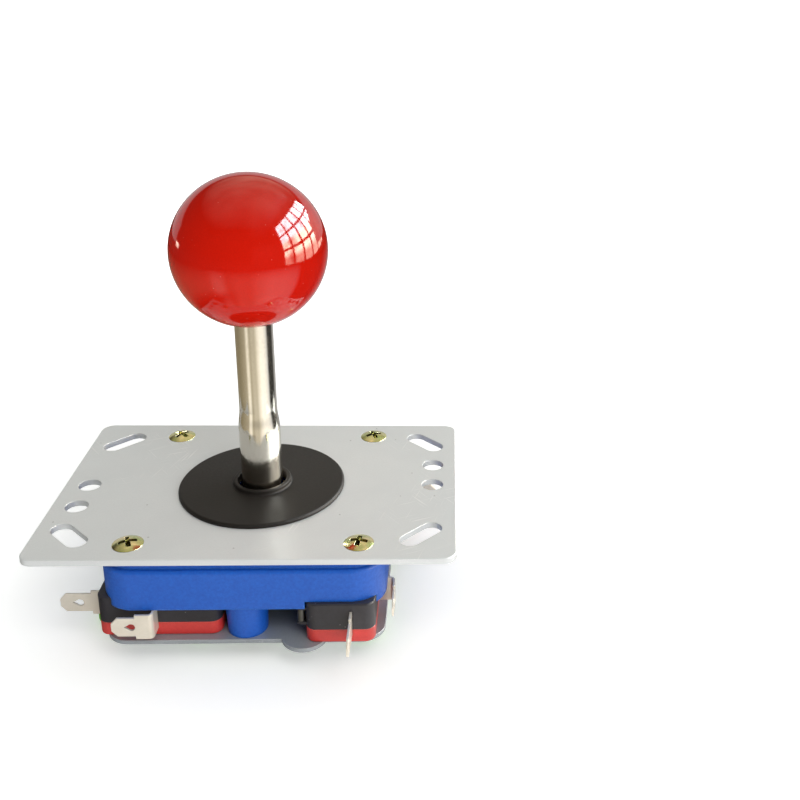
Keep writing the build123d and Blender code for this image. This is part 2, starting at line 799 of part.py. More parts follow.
def four_screws(places, z_seats, head_high, length):
    """Four pan-head screws, each with its own place and seat height, and each stopped at its own turn."""
    screws = []
    for i, ((x, y), z) in enumerate(zip(places, z_seats)):
        spin = Rot(0, 0, first_stop + next_stop * i)
        screws.append(Pos(x, y, z) * spin * pan_screw(head_high, length))
    return screws


def main():
    os.makedirs("parts", exist_ok=True)
    save(mounting_plate(), "mounting_plate")
    save(dust_washer(), "dust_washer")
    save(shaft(), "shaft")
    save(ball_top(), "ball_top")
    save(pivot_bush(), "pivot_bush")
    save(pivot_cup(), "pivot_cup")
    save(housing(), "housing")
    save(base_plate(), "base_plate")
    save(seat_washer(), "seat_washer")
    save(spring(), "centring_spring")
    save(actuator(), "actuator")
    save(retaining_ring(), "retaining_ring")
    save(gate_base(), "gate_base")
    save(gate_plate(), "gate_plate")
    pieces = {"case": switch_case, "cover": switch_cover, "plunger": plunger, "lever": switch_lever,
              "end_blade": end_blade, "common_blade": common_blade}
    for name, make in pieces.items():
        for place, solid in zip(("front", "right", "back", "left"), four_turns(make)):
            save(solid, f"{place}_switch_{name}")
    save(Compound(children=plate_screws()), "plate_screws")
    base_places = four_places(post_x, -post_at)
    save(Compound(children=four_screws(base_places, [base_bottom] * 4, base_head_high, base_screw_length)),
         "base_screws")
    low_seat = gate_bottom + gate_head_high
    gate_places = four_places(gate_screw_at, 0)
    gate_seats = [gate_base_bottom, low_seat, gate_base_bottom, low_seat]
    save(Compound(children=four_screws(gate_places, gate_seats, gate_head_high, gate_screw_length)),
         "gate_screws")


main()
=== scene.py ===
# %% [markdown]
# An arcade joystick lever
#
# A ball on a plated shaft stands on a sheet steel plate. Under the plate a blue moulded housing
# carries four microswitches, a second steel plate and a green gate with a square window. The
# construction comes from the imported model, and this file gives each piece the surface that the real
# one has. Blender works in the model's own frame and in metres. The sizes below are in millimetres,
# because a maker thinks in them, and MM turns them into metres.

# %% Load the frame
import math

import bmesh
import bpy
import numpy as np
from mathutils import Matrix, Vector


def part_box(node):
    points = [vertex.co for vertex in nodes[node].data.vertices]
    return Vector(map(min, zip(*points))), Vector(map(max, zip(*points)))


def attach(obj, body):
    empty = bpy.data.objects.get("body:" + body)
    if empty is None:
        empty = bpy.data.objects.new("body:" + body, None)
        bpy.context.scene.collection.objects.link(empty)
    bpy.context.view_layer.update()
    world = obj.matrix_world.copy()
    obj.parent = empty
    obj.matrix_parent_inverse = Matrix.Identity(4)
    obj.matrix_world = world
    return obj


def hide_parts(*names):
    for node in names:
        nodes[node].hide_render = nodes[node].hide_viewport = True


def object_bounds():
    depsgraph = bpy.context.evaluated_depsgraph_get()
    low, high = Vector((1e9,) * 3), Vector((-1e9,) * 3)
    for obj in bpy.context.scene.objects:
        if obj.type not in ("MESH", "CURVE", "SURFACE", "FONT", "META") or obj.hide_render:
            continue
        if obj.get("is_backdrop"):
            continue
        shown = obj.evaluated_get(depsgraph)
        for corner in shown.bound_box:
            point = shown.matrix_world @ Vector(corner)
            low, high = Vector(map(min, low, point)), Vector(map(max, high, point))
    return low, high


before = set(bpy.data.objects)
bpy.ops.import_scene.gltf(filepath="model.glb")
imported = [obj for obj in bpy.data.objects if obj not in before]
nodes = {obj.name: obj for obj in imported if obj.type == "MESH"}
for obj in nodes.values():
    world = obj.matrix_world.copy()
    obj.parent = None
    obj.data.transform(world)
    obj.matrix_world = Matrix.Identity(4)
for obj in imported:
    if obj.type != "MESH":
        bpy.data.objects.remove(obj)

cad_low, cad_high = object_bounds()
MM = 0.001
print("CAD box in mm:", [round(v / MM, 1) for v in (*cad_low, *cad_high)])

# %% [markdown]
# The camera
#
# The camera has to stand where the photograph was taken. It could be placed by eye, but a few known
# real sizes give it exactly. Here the corners of the plate, its screws and holes and the outline of the
# ball were matched, which gives the place, the turn and the focal length below. The lens axis doesn't
# pass through the middle of the picture, so the lens has a small shift.

# %% Camera
PICTURE = 800
FOCAL_PIXELS = 1050.3
AXIS_PIXEL = (510.2, 299.0)
CAMERA_AT_MM = (45.2, -234.4, 137.1)
CAMERA_TURN_DEG = (69.74, -1.76, -3.15)
SENSOR_MM = 36.0
NEAREST_MM = 10.0

lens = bpy.data.cameras.new("camera")
lens.sensor_width = SENSOR_MM
lens.lens = SENSOR_MM * FOCAL_PIXELS / PICTURE
lens.shift_x = (PICTURE / 2 - AXIS_PIXEL[0]) / PICTURE
lens.shift_y = (AXIS_PIXEL[1] - PICTURE / 2) / PICTURE
lens.clip_start = NEAREST_MM * MM
camera = bpy.data.objects.new("camera", lens)
camera.location = [v * MM for v in CAMERA_AT_MM]
camera.rotation_euler = [math.radians(v) for v in CAMERA_TURN_DEG]
bpy.context.scene.collection.objects.link(camera)
bpy.context.scene.camera = camera
bpy.context.scene.view_settings.view_transform = "Standard"
print("lens", round(lens.lens, 1), "mm, shift", round(lens.shift_x, 3), round(lens.shift_y, 3))

# %% [markdown]
# Surfaces from arrays
#
# The new pieces could be built from Blender's own balls and tubes, cut by boolean modifiers, but such
# cuts leave ragged faces that show on bright plate. So each new piece is a grid of points. A point
# depends on two parameters, and numpy works out the whole grid at once. The faces are found the same
# way: a face joins a point to its neighbours in the next row and the next column. Where a grid closes
# on itself, the last column joins the first. Points that fall together, as at the pole of a ball, are
# merged afterwards.

# %% Grids to a mesh
# In metres: points nearer than the first are one point, and shorter edges than the second are removed.
SAME_POINT = 1e-7
NO_LENGTH = 1e-8
# Faces that meet at more than this angle keep a sharp edge between them.
SHARP_DEG = 35.0


def grid_faces(rows, columns, closed, first):
    """Corner numbers of the quads of a grid: (i, j), (i, j+1), (i+1, j+1), (i+1, j) for each cell."""
    i = np.arange(rows - 1)[:, None]
    j = np.arange(columns if closed else columns - 1)[None, :]
    k = (j + 1) % columns
    corners = [i * columns + j, i * columns + k, (i + 1) * columns + k, (i + 1) * columns + j]
    return np.stack(corners, axis=-1).reshape(-1, 4) + first


def mesh_from_grids(name, grids, closed=True):
    """One mesh from grids of points in millimetres. Each grid is an array of rows, columns and x, y, z."""
    points = np.concatenate([g.reshape(-1, 3) for g in grids]) * MM
    starts = np.cumsum([0] + [g.shape[0] * g.shape[1] for g in grids[:-1]])
    faces = np.concatenate([grid_faces(*g.shape[:2], closed, s) for g, s in zip(grids, starts)])
    mesh = bpy.data.meshes.new(name)
    mesh.from_pydata(points.tolist(), [], faces.tolist())
    work = bmesh.new()
    work.from_mesh(mesh)
    bmesh.ops.remove_doubles(work, verts=work.verts, dist=SAME_POINT)
    bmesh.ops.dissolve_degenerate(work, edges=work.edges, dist=NO_LENGTH)
    bmesh.ops.recalc_face_normals(work, faces=work.faces)
    work.to_mesh(mesh)
    work.free()
    mesh.shade_smooth()
    mesh.set_sharp_from_angle(angle=math.radians(SHARP_DEG))
    return mesh


def add_piece(name, mesh, material, body, replaced):
    """Puts a mesh in the scene, on its body, with its material and the node that it stands for."""
    piece = bpy.data.objects.new(name, mesh)
    bpy.context.scene.collection.objects.link(piece)
    mesh.materials.append(material)
    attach(piece, body)
    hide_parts(replaced)
    print(name, "has", len(mesh.polygons), "faces")

# %% [markdown]
# Shared effects
#
# An effect that several materials use is a node group. It is built once, with named sockets, and
# each material sets its own values. Four are enough here: a soft edge that finds and rounds corners,
# the fine grain of a moulding, fine scratches, and broad clouds with small specks.

# %% Node helpers
def new_group(name, inputs, outputs):
    """An empty shader node group. Inputs are (name, default) and outputs are (name, kind)."""
    group = bpy.data.node_groups.new(name, "ShaderNodeTree")
    for label, default in inputs:
        socket = group.interface.new_socket(label, in_out="INPUT", socket_type="NodeSocketFloat")
        socket.default_value = default
    for label, kind in outputs:
        group.interface.new_socket(label, in_out="OUTPUT", socket_type="NodeSocket" + kind)
    return group, group.nodes.new("NodeGroupInput").outputs, group.nodes.new("NodeGroupOutput").inputs


def set_sockets(tree, node, values):
    """Sets sockets by name or number to a number or a colour, or joins them to another node's socket."""
    for key, value in values.items():
        if isinstance(value, bpy.types.NodeSocket):
            tree.links.new(value, node.inputs[key])
        else:
            node.inputs[key].default_value = value


def add_node(tree, kind, values=None, **settings):
    """A new node with its settings and its sockets' values. It gives back the node's outputs."""
    node = tree.nodes.new("ShaderNode" + kind)
    for key, value in settings.items():
        setattr(node, key, value)
    set_sockets(tree, node, values or {})
    return node.outputs


def times(tree, a, b):
    """The product of two values."""
    return add_node(tree, "Math", {0: a, 1: b}, operation="MULTIPLY")[0]


def ramp(tree, value, low, high, out_low=0.0, out_high=1.0):
    """Value carried from the span low to high onto the span out_low to out_high, and held at its ends."""
    sockets = {"Value": value, "From Min": low, "From Max": high, "To Min": out_low, "To Max": out_high}
    return add_node(tree, "MapRange", sockets, clamp=True)[0]


def mix_colour(tree, share, a, b):
    """Colour a, carried towards colour b by a share from 0 to 1."""
    # A Mix node has its sockets several times. For colours they are inputs 0, 6 and 7 and output 2.
    return add_node(tree, "Mix", {0: share, 6: a, 7: b}, data_type="RGBA")[2]


def place_group(tree, group, values):
    """An instance of a node group in a material, with its own values."""
    node = tree.nodes.new("ShaderNodeGroup")
    node.node_tree = group
    set_sockets(tree, node, values)
    return node.outputs

# %% [markdown]
# Soft edges
#
# A corner of a real piece is rounded and catches light. A Bevel modifier would round it in the mesh,
# but the imported meshes are loose triangles and stay as they are. The Bevel node looks sideways for
# nearby faces and bends the normal near a corner, which needs no new faces. Where the bent normal
# leaves the true one, there is a corner, so the same node also makes a mask for a painted highlight
# on corners and, broken by noise, a mask for wear.

# %% Group: soft edge
# The cosine between the bent normal and the true one, where a corner starts and where it is full.
CORNER_STARTS, CORNER_FULL = 0.995, 0.80
edge_group, given, result = new_group(
    "soft_edge", [("Radius", 0.0003), ("Wear scale", 900.0)],
    [("Normal", "Vector"), ("Edge", "Float"), ("Wear", "Float")])
bent = add_node(edge_group, "Bevel", {"Radius": given["Radius"]}, samples=6)[0]
true_normal = add_node(edge_group, "NewGeometry")["Normal"]
facing = add_node(edge_group, "VectorMath", {0: bent, 1: true_normal}, operation="DOT_PRODUCT")["Value"]
edge = ramp(edge_group, facing, CORNER_STARTS, CORNER_FULL)
place = add_node(edge_group, "TexCoord")["Object"]
nibble = add_node(edge_group, "TexNoise", {"Vector": place, "Scale": given["Wear scale"], "Detail": 3.0})
worn = ramp(edge_group, nibble["Fac"], 0.42, 0.60)
edge_group.links.new(bent, result["Normal"])
edge_group.links.new(edge, result["Edge"])
edge_group.links.new(times(edge_group, edge, worn), result["Wear"])
print("group", edge_group.name, "has", len(edge_group.nodes), "nodes")

# %% [markdown]
# Moulded grain
#
# A mould's wall is spark-eroded, so a moulding has a fine pebbled skin, with a faint mottling where
# the melt flowed. The pebbles are far too small for geometry, so they are a height for a bump. Two
# noises of different size give the height and the mottling.

# %% Group: moulded grain
grain_group, given, result = new_group(
    "moulded_grain", [("Grain scale", 2500.0), ("Mottle scale", 350.0)],
    [("Height", "Float"), ("Mottle", "Float")])
place = add_node(grain_group, "TexCoord")["Object"]
pebble = add_node(grain_group, "TexNoise", {"Vector": place, "Scale": given["Grain scale"], "Detail": 2.0})
mottle = add_node(grain_group, "TexNoise", {"Vector": place, "Scale": given["Mottle scale"],
                                            "Detail": 5.0, "Roughness": 0.65})
grain_group.links.new(pebble["Fac"], result["Height"])
grain_group.links.new(ramp(grain_group, mottle["Fac"], 0.33, 0.67), result["Mottle"])
print("group", grain_group.name, "has", len(grain_group.nodes), "nodes")

# %% [markdown]
# Fine scratches
#
# Handling leaves thin straight marks in every direction. They could be drawn one by one, but a noise
# that is stretched many times along one line has such marks of its own. Three of them are turned
# differently, and a wide noise keeps the marks to a few clusters, because a piece is scratched where
# it was handled. The Mapping node is of the Texture type, which turns the coordinates before it
# stretches them. The other way round, all three would run the same way.

# %% Group: fine scratches
# Each set of marks has a turn in degrees and is so many times thinner than it is long.
MARK_SETS = ((24.0, 26.0), (-52.0, 34.0), (73.0, 22.0))
scratch_group, given, result = new_group(
    "fine_scratches", [("Scale", 90.0), ("Cluster scale", 26.0), ("Amount", 0.5)], [("Mask", "Float")])
place = add_node(scratch_group, "TexCoord")["Object"]
clusters = add_node(scratch_group, "TexNoise", {"Vector": place, "Scale": given["Cluster scale"]})["Fac"]
strongest = 0.0
for turn_deg, thinness in MARK_SETS:
    turned_place = add_node(scratch_group, "Mapping", {
        "Vector": place, "Rotation": (0.0, 0.0, math.radians(turn_deg)),
        "Scale": (1.0, 1 / thinness, 1 / thinness)}, vector_type="TEXTURE")[0]
    lines = add_node(scratch_group, "TexNoise", {"Vector": turned_place, "Scale": given["Scale"],
                                                 "Detail": 1.0})
    strongest = add_node(scratch_group, "Math", {0: strongest, 1: lines["Fac"]}, operation="MAXIMUM")[0]
marks = ramp(scratch_group, strongest, 0.66, 0.74)
handled = ramp(scratch_group, clusters, 0.54, 0.64)
mask = times(scratch_group, times(scratch_group, marks, handled), given["Amount"])
scratch_group.links.new(mask, result["Mask"])
print("group", scratch_group.name, "has", len(scratch_group.nodes), "nodes")

# %% [markdown]
# Clouds and specks
#
# A plated sheet isn't one grey: the bath leaves soft clouds, and dust and pits leave small dark
# specks. A wide noise gives the clouds. The specks come from the cells of a Voronoi texture: a point is
# in one if it is close to its cell's middle, and a random number for each cell keeps only a few.

# %% Group: clouds and specks
speck_group, given, result = new_group(
    "cloud_and_speck",
    [("Cloud scale", 40.0), ("Speck scale", 500.0), ("Speck size", 0.16), ("Rare", 0.85)],
    [("Cloud", "Float"), ("Speck", "Float")])
place = add_node(speck_group, "TexCoord")["Object"]
cloud = add_node(speck_group, "TexNoise", {"Vector": place, "Scale": given["Cloud scale"], "Detail": 4.0})
cells = add_node(speck_group, "TexVoronoi", {"Vector": place, "Scale": given["Speck scale"]})
chance = add_node(speck_group, "TexWhiteNoise", {"Vector": cells["Position"]})["Value"]
small = add_node(speck_group, "Math", {0: cells["Distance"], 1: given["Speck size"]},
                 operation="LESS_THAN")[0]
kept = add_node(speck_group, "Math", {0: chance, 1: given["Rare"]}, operation="GREATER_THAN")[0]
speck_group.links.new(ramp(speck_group, cloud["Fac"], 0.3, 0.7), result["Cloud"])
speck_group.links.new(times(speck_group, small, kept), result["Speck"])
print("group", speck_group.name, "has", len(speck_group.nodes), "nodes")

# %% [markdown]
# Materials
#
# Each finish is one Principled shader. The groups above feed its colour, its roughness and its bump,
# and the numbers that are the same all over stand on the shader itself. Pieces that are made alike
# share one recipe, a function with the values in which they differ.

# %% Material helpers
def new_material(name, values):
    """A Principled material, its node tree and its shader, with plain values set by socket name."""
    material = bpy.data.materials.new(name)
    material.use_nodes = True
    shader = material.node_tree.nodes["Principled BSDF"]
    set_sockets(material.node_tree, shader, values)
    return material, material.node_tree, shader


def set_bump(tree, shader, height, depth_mm, strength, normal=None):
    """A bump of a real depth on the shader's normal, on top of another normal if one is given."""
    sockets = {"Height": height, "Distance": depth_mm * MM, "Strength": strength}
    if normal is not None:
        sockets["Normal"] = normal
    set_sockets(tree, shader, {"Normal": add_node(tree, "Bump", sockets)[0]})


def dress(material, *names):
    """Gives CAD nodes one material."""
    for name in names:
        slots = nodes[name].data.materials
        slots.clear()
        slots.append(material)
    print(material.name, "on", len(names), "nodes")


def grey(value, warm=0.0):
    """A grey as a colour with alpha, a little redder and less blue when warm is above 0."""
    return (value * (1 + warm), value, value * (1 - 2 * warm), 1.0)

# %% [markdown]
# Zinc-plated sheet
#
# The mounting plate and the base plate are sheet steel with a dull zinc coat. It reads as a light
# grey with soft clouds, a few dark specks and short scratches, and its edges are paler, partly as
# bright sheared steel and partly as a painted highlight. It is a metal, but the coat scatters light so
# much that it looks almost like paint, so the shader is only a quarter metal. The walls of the holes
# get a painted shade where little of the room would reach them, and the Ambient Occlusion node finds
# such places. The base plate's coat is darker, a painted shade for the shadow under the housing.

# %% Sheet steel
# How far round a point walls are searched for, in millimetres.
HOLE_SHADE_REACH = 9.0


def sheet_steel(name, colour, shade, rough):
    """A dull coat: colour and shade in clouds and fine mottling, with dark specks, pale scratches, corners
    paler by a painted highlight, and painted shade on a wall that is upright and closed in."""
    material, tree, shader = new_material(name, {"Metallic": 0.25})
    soft = place_group(tree, edge_group, {"Radius": 0.25 * MM})
    spots = place_group(tree, speck_group, {
        "Cloud scale": 30.0, "Speck scale": 420.0, "Speck size": 0.10, "Rare": 0.90})
    marks = place_group(tree, scratch_group, {"Scale": 80.0, "Cluster scale": 34.0, "Amount": 0.7})
    fine = place_group(tree, grain_group, {"Grain scale": 3800.0, "Mottle scale": 2400.0})
    base = mix_colour(tree, spots["Cloud"], colour, shade)
    base = mix_colour(tree, times(tree, fine["Mottle"], 0.55), base, shade)
    base = mix_colour(tree, times(tree, spots["Speck"], 0.45), base, grey(0.22))
    base = mix_colour(tree, marks["Mask"], base, grey(0.86))
    # Painted highlight: every corner is paler, partly also as bright sheared steel.
    base = mix_colour(tree, times(tree, soft["Edge"], 0.5), base, grey(0.88, 0.02))
    # Painted shade: walls that are upright and closed in, where the Ambient Occlusion node finds them, are
    # darkened.
    faces_up = add_node(tree, "SeparateXYZ", {0: add_node(tree, "NewGeometry")["Normal"]})["Z"]
    level = add_node(tree, "Math", {0: faces_up}, operation="ABSOLUTE")[0]
    openness = add_node(tree, "AmbientOcclusion", {"Distance": HOLE_SHADE_REACH * MM}, samples=8)["AO"]
    inside = times(tree, ramp(tree, level, 0.5, 0.3), ramp(tree, openness, 0.95, 0.55, 0.0, 0.4))
    base = mix_colour(tree, inside, base, grey(0.04))
    uneven = ramp(tree, spots["Cloud"], 0.0, 1.0, rough - 0.05, rough + 0.06)
    set_sockets(tree, shader, {"Base Color": base, "Roughness": uneven})
    set_bump(tree, shader, fine["Height"], 0.012, 0.4, soft["Normal"])
    return material


plate_steel = sheet_steel(
    "plate_steel", colour=(0.745, 0.765, 0.775, 1), shade=(0.645, 0.665, 0.675, 1), rough=0.45)
# The base plate is the same coat in a darker colour, a painted shade for the shadow under the housing.
base_steel = sheet_steel(
    "base_steel", colour=(0.37, 0.40, 0.43, 1), shade=(0.29, 0.315, 0.345, 1), rough=0.42)
dress(plate_steel, "mounting_plate")
dress(base_steel, "base_plate")

# %% [markdown]
# Moulded plastics
#
# The housing, the gate, the actuator, the switches, the dust washer and the pivot's bush and cup are
# moulded. They share one recipe: a pebbled skin, a mottled colour, soft corners made paler by a painted
# highlight and a little wear, and dust in a few pale specks. Light goes a little way into the paler
# plastics, which is what the subsurface weight is for.

# %% Moulded plastic
def moulded(name, colour, shade, rough, edge_colour, mottle_scale=1600.0, mottle=0.5, pebble_mm=0.015,
            edge_mm=0.4, dust=0.0, subsurface=0.0, specular=0.5):
    """A pebbled skin: colour mottled with shade by a share, corners paler by a painted highlight and by
    wear, and a share of dust.
    """
    material, tree, shader = new_material(name, {
        "Specular IOR Level": specular, "Subsurface Weight": subsurface, "Subsurface Scale": 2 * MM})
    soft = place_group(tree, edge_group, {"Radius": edge_mm * MM, "Wear scale": 900.0})
    skin = place_group(tree, grain_group, {"Grain scale": 2600.0, "Mottle scale": mottle_scale})
    spots = place_group(tree, speck_group, {"Cloud scale": 60.0, "Speck scale": 900.0, "Rare": 0.8})
    base = mix_colour(tree, times(tree, skin["Mottle"], mottle), colour, shade)
    base = mix_colour(tree, times(tree, spots["Cloud"], 0.3), base, shade)
    # Painted highlight: every corner is paler, and the broken wear mask on the next line pales some more.
    base = mix_colour(tree, times(tree, soft["Edge"], 0.35), base, edge_colour)
    base = mix_colour(tree, times(tree, soft["Wear"], 0.25), base, edge_colour)
    base = mix_colour(tree, times(tree, spots["Speck"], dust), base, grey(0.65, 0.03))
    uneven = ramp(tree, skin["Mottle"], 0.0, 1.0, rough - 0.05, rough + 0.07)
    set_sockets(tree, shader, {"Base Color": base, "Roughness": uneven})
    set_bump(tree, shader, skin["Height"], pebble_mm, 0.5, soft["Normal"])
    return material


blue_plastic = moulded(
    "blue_plastic", colour=(0.003, 0.105, 0.52, 1), shade=(0.002, 0.072, 0.42, 1), rough=0.42,
    edge_colour=(0.08, 0.27, 0.75, 1), mottle=0.9, pebble_mm=0.02, edge_mm=0.6)
gate_green = moulded(
    "gate_green", colour=(0.17, 0.62, 0.012, 1), shade=(0.13, 0.53, 0.008, 1), rough=0.38,
    edge_colour=(0.34, 0.80, 0.08, 1), mottle_scale=260.0, mottle=0.4, edge_mm=0.6, subsurface=0.15)
# The actuator's green is darker than the gate's, a painted shade for the shadow inside the gate's window.
actuator_green = moulded(
    "actuator_green", colour=(0.075, 0.40, 0.012, 1), shade=(0.05, 0.32, 0.008, 1), rough=0.36,
    edge_colour=(0.25, 0.62, 0.06, 1), mottle_scale=260.0)
case_black = moulded(
    "case_black", colour=(0.018, 0.017, 0.023, 1), shade=(0.030, 0.028, 0.036, 1), rough=0.46,
    edge_colour=grey(0.10), mottle_scale=1300.0, mottle=0.8, dust=0.15)
cover_red = moulded(
    "cover_red", colour=(0.60, 0.040, 0.034, 1), shade=(0.48, 0.030, 0.027, 1), rough=0.38,
    edge_colour=(0.78, 0.18, 0.14, 1), mottle_scale=1300.0, mottle=0.6, edge_mm=0.5, subsurface=0.1)
nylon = moulded(
    "nylon", colour=(0.78, 0.76, 0.70, 1), shade=(0.70, 0.68, 0.62, 1), rough=0.38,
    edge_colour=grey(0.85, 0.03), subsurface=0.2)
black_washer = moulded(
    "black_washer", colour=(0.012, 0.010, 0.008, 1), shade=(0.020, 0.017, 0.015, 1), rough=0.50,
    edge_colour=grey(0.07), mottle_scale=1800.0, mottle=0.7, specular=0.22)

PLACES = ("front", "right", "back", "left")
dress(blue_plastic, "housing")
dress(gate_green, "gate_plate", "gate_base")
dress(actuator_green, "actuator")
dress(nylon, "pivot_cup", "pivot_bush", *[f"{p}_switch_plunger" for p in PLACES])
dress(case_black, *[f"{p}_switch_case" for p in PLACES])
dress(cover_red, *[f"{p}_switch_cover" for p in PLACES])

# %% [markdown]
# Plated metals
#
# The shaft is bright plate over a turned bar. The screws are nickel and yellow zinc, the blades are
# tin, the spring is plain plated steel, and the switch levers are a darker steel, a painted shade for
# the shadow that they sit in. They share one recipe: a metal whose roughness and colour wander a
# little, with corners brighter by wear and by a painted highlight. In a screw's cross, where walls
# are close, a painted shade darkens the colour, and the Ambient Occlusion node finds such places.

# %% Plated metal
# How far round a point walls are searched for, in millimetres.
RECESS_SHADE_REACH = 1.2


def plated(name, colour, shade, rough, cloud_scale=120.0, wear_and_highlight=0.3, edge_colour=grey(0.93, 0.01),
           marks=0.2, metallic=1.0, bump_mm=0.004, recess_shade=0.0):
    """A plated metal: colour and shade in clouds and fine mottling, corners brightened by a share of
    wear and painted highlight, scratches by a share of marks, and a share of painted shade where it
    is closed in."""
    material, tree, shader = new_material(name, {"Metallic": metallic})
    soft = place_group(tree, edge_group, {"Radius": 0.2 * MM})
    spots = place_group(tree, speck_group, {"Cloud scale": cloud_scale})
    fine = place_group(tree, grain_group, {"Grain scale": 5000.0, "Mottle scale": 1300.0})
    lines = place_group(tree, scratch_group, {"Scale": 260.0, "Cluster scale": 120.0, "Amount": marks})
    base = mix_colour(tree, spots["Cloud"], colour, shade)
    base = mix_colour(tree, times(tree, fine["Mottle"], 0.3), base, shade)
    # Painted highlight, with some real wear: every corner is brighter.
    base = mix_colour(tree, times(tree, soft["Edge"], wear_and_highlight), base, edge_colour)
    base = mix_colour(tree, lines["Mask"], base, edge_colour)
    if recess_shade:
        # Painted shade: a dark brown where the Ambient Occlusion node finds the place closed in.
        openness = add_node(tree, "AmbientOcclusion", {"Distance": RECESS_SHADE_REACH * MM}, samples=8)["AO"]
        base = mix_colour(tree, ramp(tree, openness, 0.35, 0.95, recess_shade, 0.0), base, grey(0.03, 0.2))
    both = add_node(tree, "Math", {0: spots["Cloud"], 1: fine["Mottle"]}, operation="ADD")[0]
    uneven = ramp(tree, both, 0.4, 1.6, rough - 0.06, rough + 0.08)
    set_sockets(tree, shader, {"Base Color": base, "Roughness": uneven})
    set_bump(tree, shader, fine["Height"], bump_mm, 0.5, soft["Normal"])
    return material


shaft_chrome = plated(
    "shaft_chrome", colour=grey(0.80, 0.05), shade=grey(0.72, 0.07), rough=0.13, cloud_scale=60.0,
    wear_and_highlight=0.2, marks=0.1, bump_mm=0.0015)
nickel = plated(
    "nickel_screw", colour=grey(0.74, 0.05), shade=grey(0.61, 0.10), rough=0.22, cloud_scale=200.0,
    recess_shade=0.9)
yellow_zinc = plated(
    "yellow_zinc", colour=(0.90, 0.72, 0.42, 1), shade=(0.41, 0.49, 0.19, 1), rough=0.20,
    cloud_scale=420.0, recess_shade=0.5)
tin = plated(
    "tin_blade", colour=(0.86, 0.80, 0.70, 1), shade=(0.74, 0.68, 0.58, 1), rough=0.34,
    cloud_scale=160.0, metallic=0.35)
spring_steel = plated("spring_steel", colour=grey(0.50, 0.02), shade=grey(0.38, 0.02), rough=0.30)
ring_black = plated(
    "ring_black", colour=grey(0.055), shade=grey(0.09), rough=0.30, cloud_scale=200.0, wear_and_highlight=0.8,
    edge_colour=grey(0.66, 0.04))
# The levers' darker colour is a painted shade for the shadow that they sit in.
lever_steel_painted_shade = plated("lever_steel_painted_shade", colour=grey(0.16), shade=grey(0.11), rough=0.42)
dress(tin, *[f"{p}_switch_{n}_blade" for p in PLACES for n in ("end", "common")])
dress(spring_steel, "centring_spring", "seat_washer")
dress(lever_steel_painted_shade, *[f"{p}_switch_lever" for p in PLACES])
dress(ring_black, "retaining_ring")

# %% [markdown]
# Glossy ball
#
# The ball is moulded, then polished until it reflects the room. One plain red with a perfect gloss
# would look unreal, so the red is a little mottled, a few specks of dust lie on it, and a very slight
# bump keeps the reflections from being perfect.

# %% Red ball
BALL_COLOUR = (0.54, 0.008, 0.002, 1)
BALL_SHADE = (0.36, 0.005, 0.001, 1)
BALL_DUST = (0.9, 0.5, 0.45, 1)
ball_red, tree, shader = new_material("ball_red", {"Roughness": 0.07})
skin = place_group(tree, grain_group, {"Grain scale": 2600.0, "Mottle scale": 3200.0})
spots = place_group(tree, speck_group, {"Speck scale": 900.0, "Speck size": 0.1})
red = mix_colour(tree, times(tree, skin["Mottle"], 0.4), BALL_COLOUR, BALL_SHADE)
red = mix_colour(tree, times(tree, spots["Speck"], 0.2), red, BALL_DUST)
set_sockets(tree, shader, {"Base Color": red})
set_bump(tree, shader, skin["Height"], 0.006, 0.2)
print(ball_red.name, "has", len(tree.nodes), "nodes")

# %% [markdown]
# Turned pieces
#
# A lathe makes a piece from its profile, and so does this file: a profile is a line of radius and
# height, and each point of it is carried round the axis. Blender's Spin and its Screw modifier do the
# same, but a formula puts rows and columns just where they are needed. Real turned and moulded corners
# are never perfectly sharp, so the profile's corners are first replaced by short curves.

# %% Rounded profiles and turned grids
# The most that a round may take of the shorter line beside it, so that two rounds never meet.
LARGEST_SHARE = 0.45


def rounded_profile(corners, steps=6):
    """Corners are (radius, height, round). Each is replaced by a curve of about that radius, from a start
    to an end at round / tan(half the angle) from it: (1 - t)^2 start + 2 t (1 - t) corner + t^2 end."""
    rows = np.array(corners, float)
    p, r = rows[:, :2], rows[:, 2]
    before, after = p[:-2] - p[1:-1], p[2:] - p[1:-1]
    before_len, after_len = np.linalg.norm(before, axis=1), np.linalg.norm(after, axis=1)
    cosine = np.clip((before * after).sum(1) / (before_len * after_len), -1, 1)
    shortest = np.minimum(before_len, after_len)
    reach = np.minimum(r[1:-1] / np.tan(np.arccos(cosine) / 2), LARGEST_SHARE * shortest)
    start = p[1:-1] + before / before_len[:, None] * reach[:, None]
    end = p[1:-1] + after / after_len[:, None] * reach[:, None]
    t = np.linspace(0, 1, steps)[None, :, None]
    arcs = (1 - t) ** 2 * start[:, None] + 2 * t * (1 - t) * p[1:-1][:, None] + t ** 2 * end[:, None]
    return np.concatenate([p[:1], arcs.reshape(-1, 2), p[-1:]])


def turned(profile, segments=96):
    """Point (i, j) is the profile's point i at angle j: (r cos a, r sin a, z), a from 0 to a full turn."""
    angle = np.arange(segments) * 2 * np.pi / segments
    r, z = profile[:, 0][:, None], profile[:, 1][:, None]
    return np.stack([r * np.cos(angle), r * np.sin(angle), z + 0 * angle], axis=-1)

# %% [markdown]
# The ball
#
# Facets show first on a mirror-like ball, so it gets a fine grid of its own. A UV sphere would give the
# round part, but the real ball has a flat at the bottom and a threaded hole in it. So the profile is
# the hole, the flat, a small round and then the ball's circle up to the top, turned about Z.

# %% Ball
low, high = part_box("ball_top")
ball_r = (high.x - low.x) / 2 / MM
flat_z = low.z / MM
ball_z = high.z / MM - ball_r
flat_r = math.sqrt(ball_r ** 2 - (ball_z - flat_z) ** 2)
THREAD_R = 3.05
THREAD_DEPTH = 11.0
FLAT_ROUND = 0.4


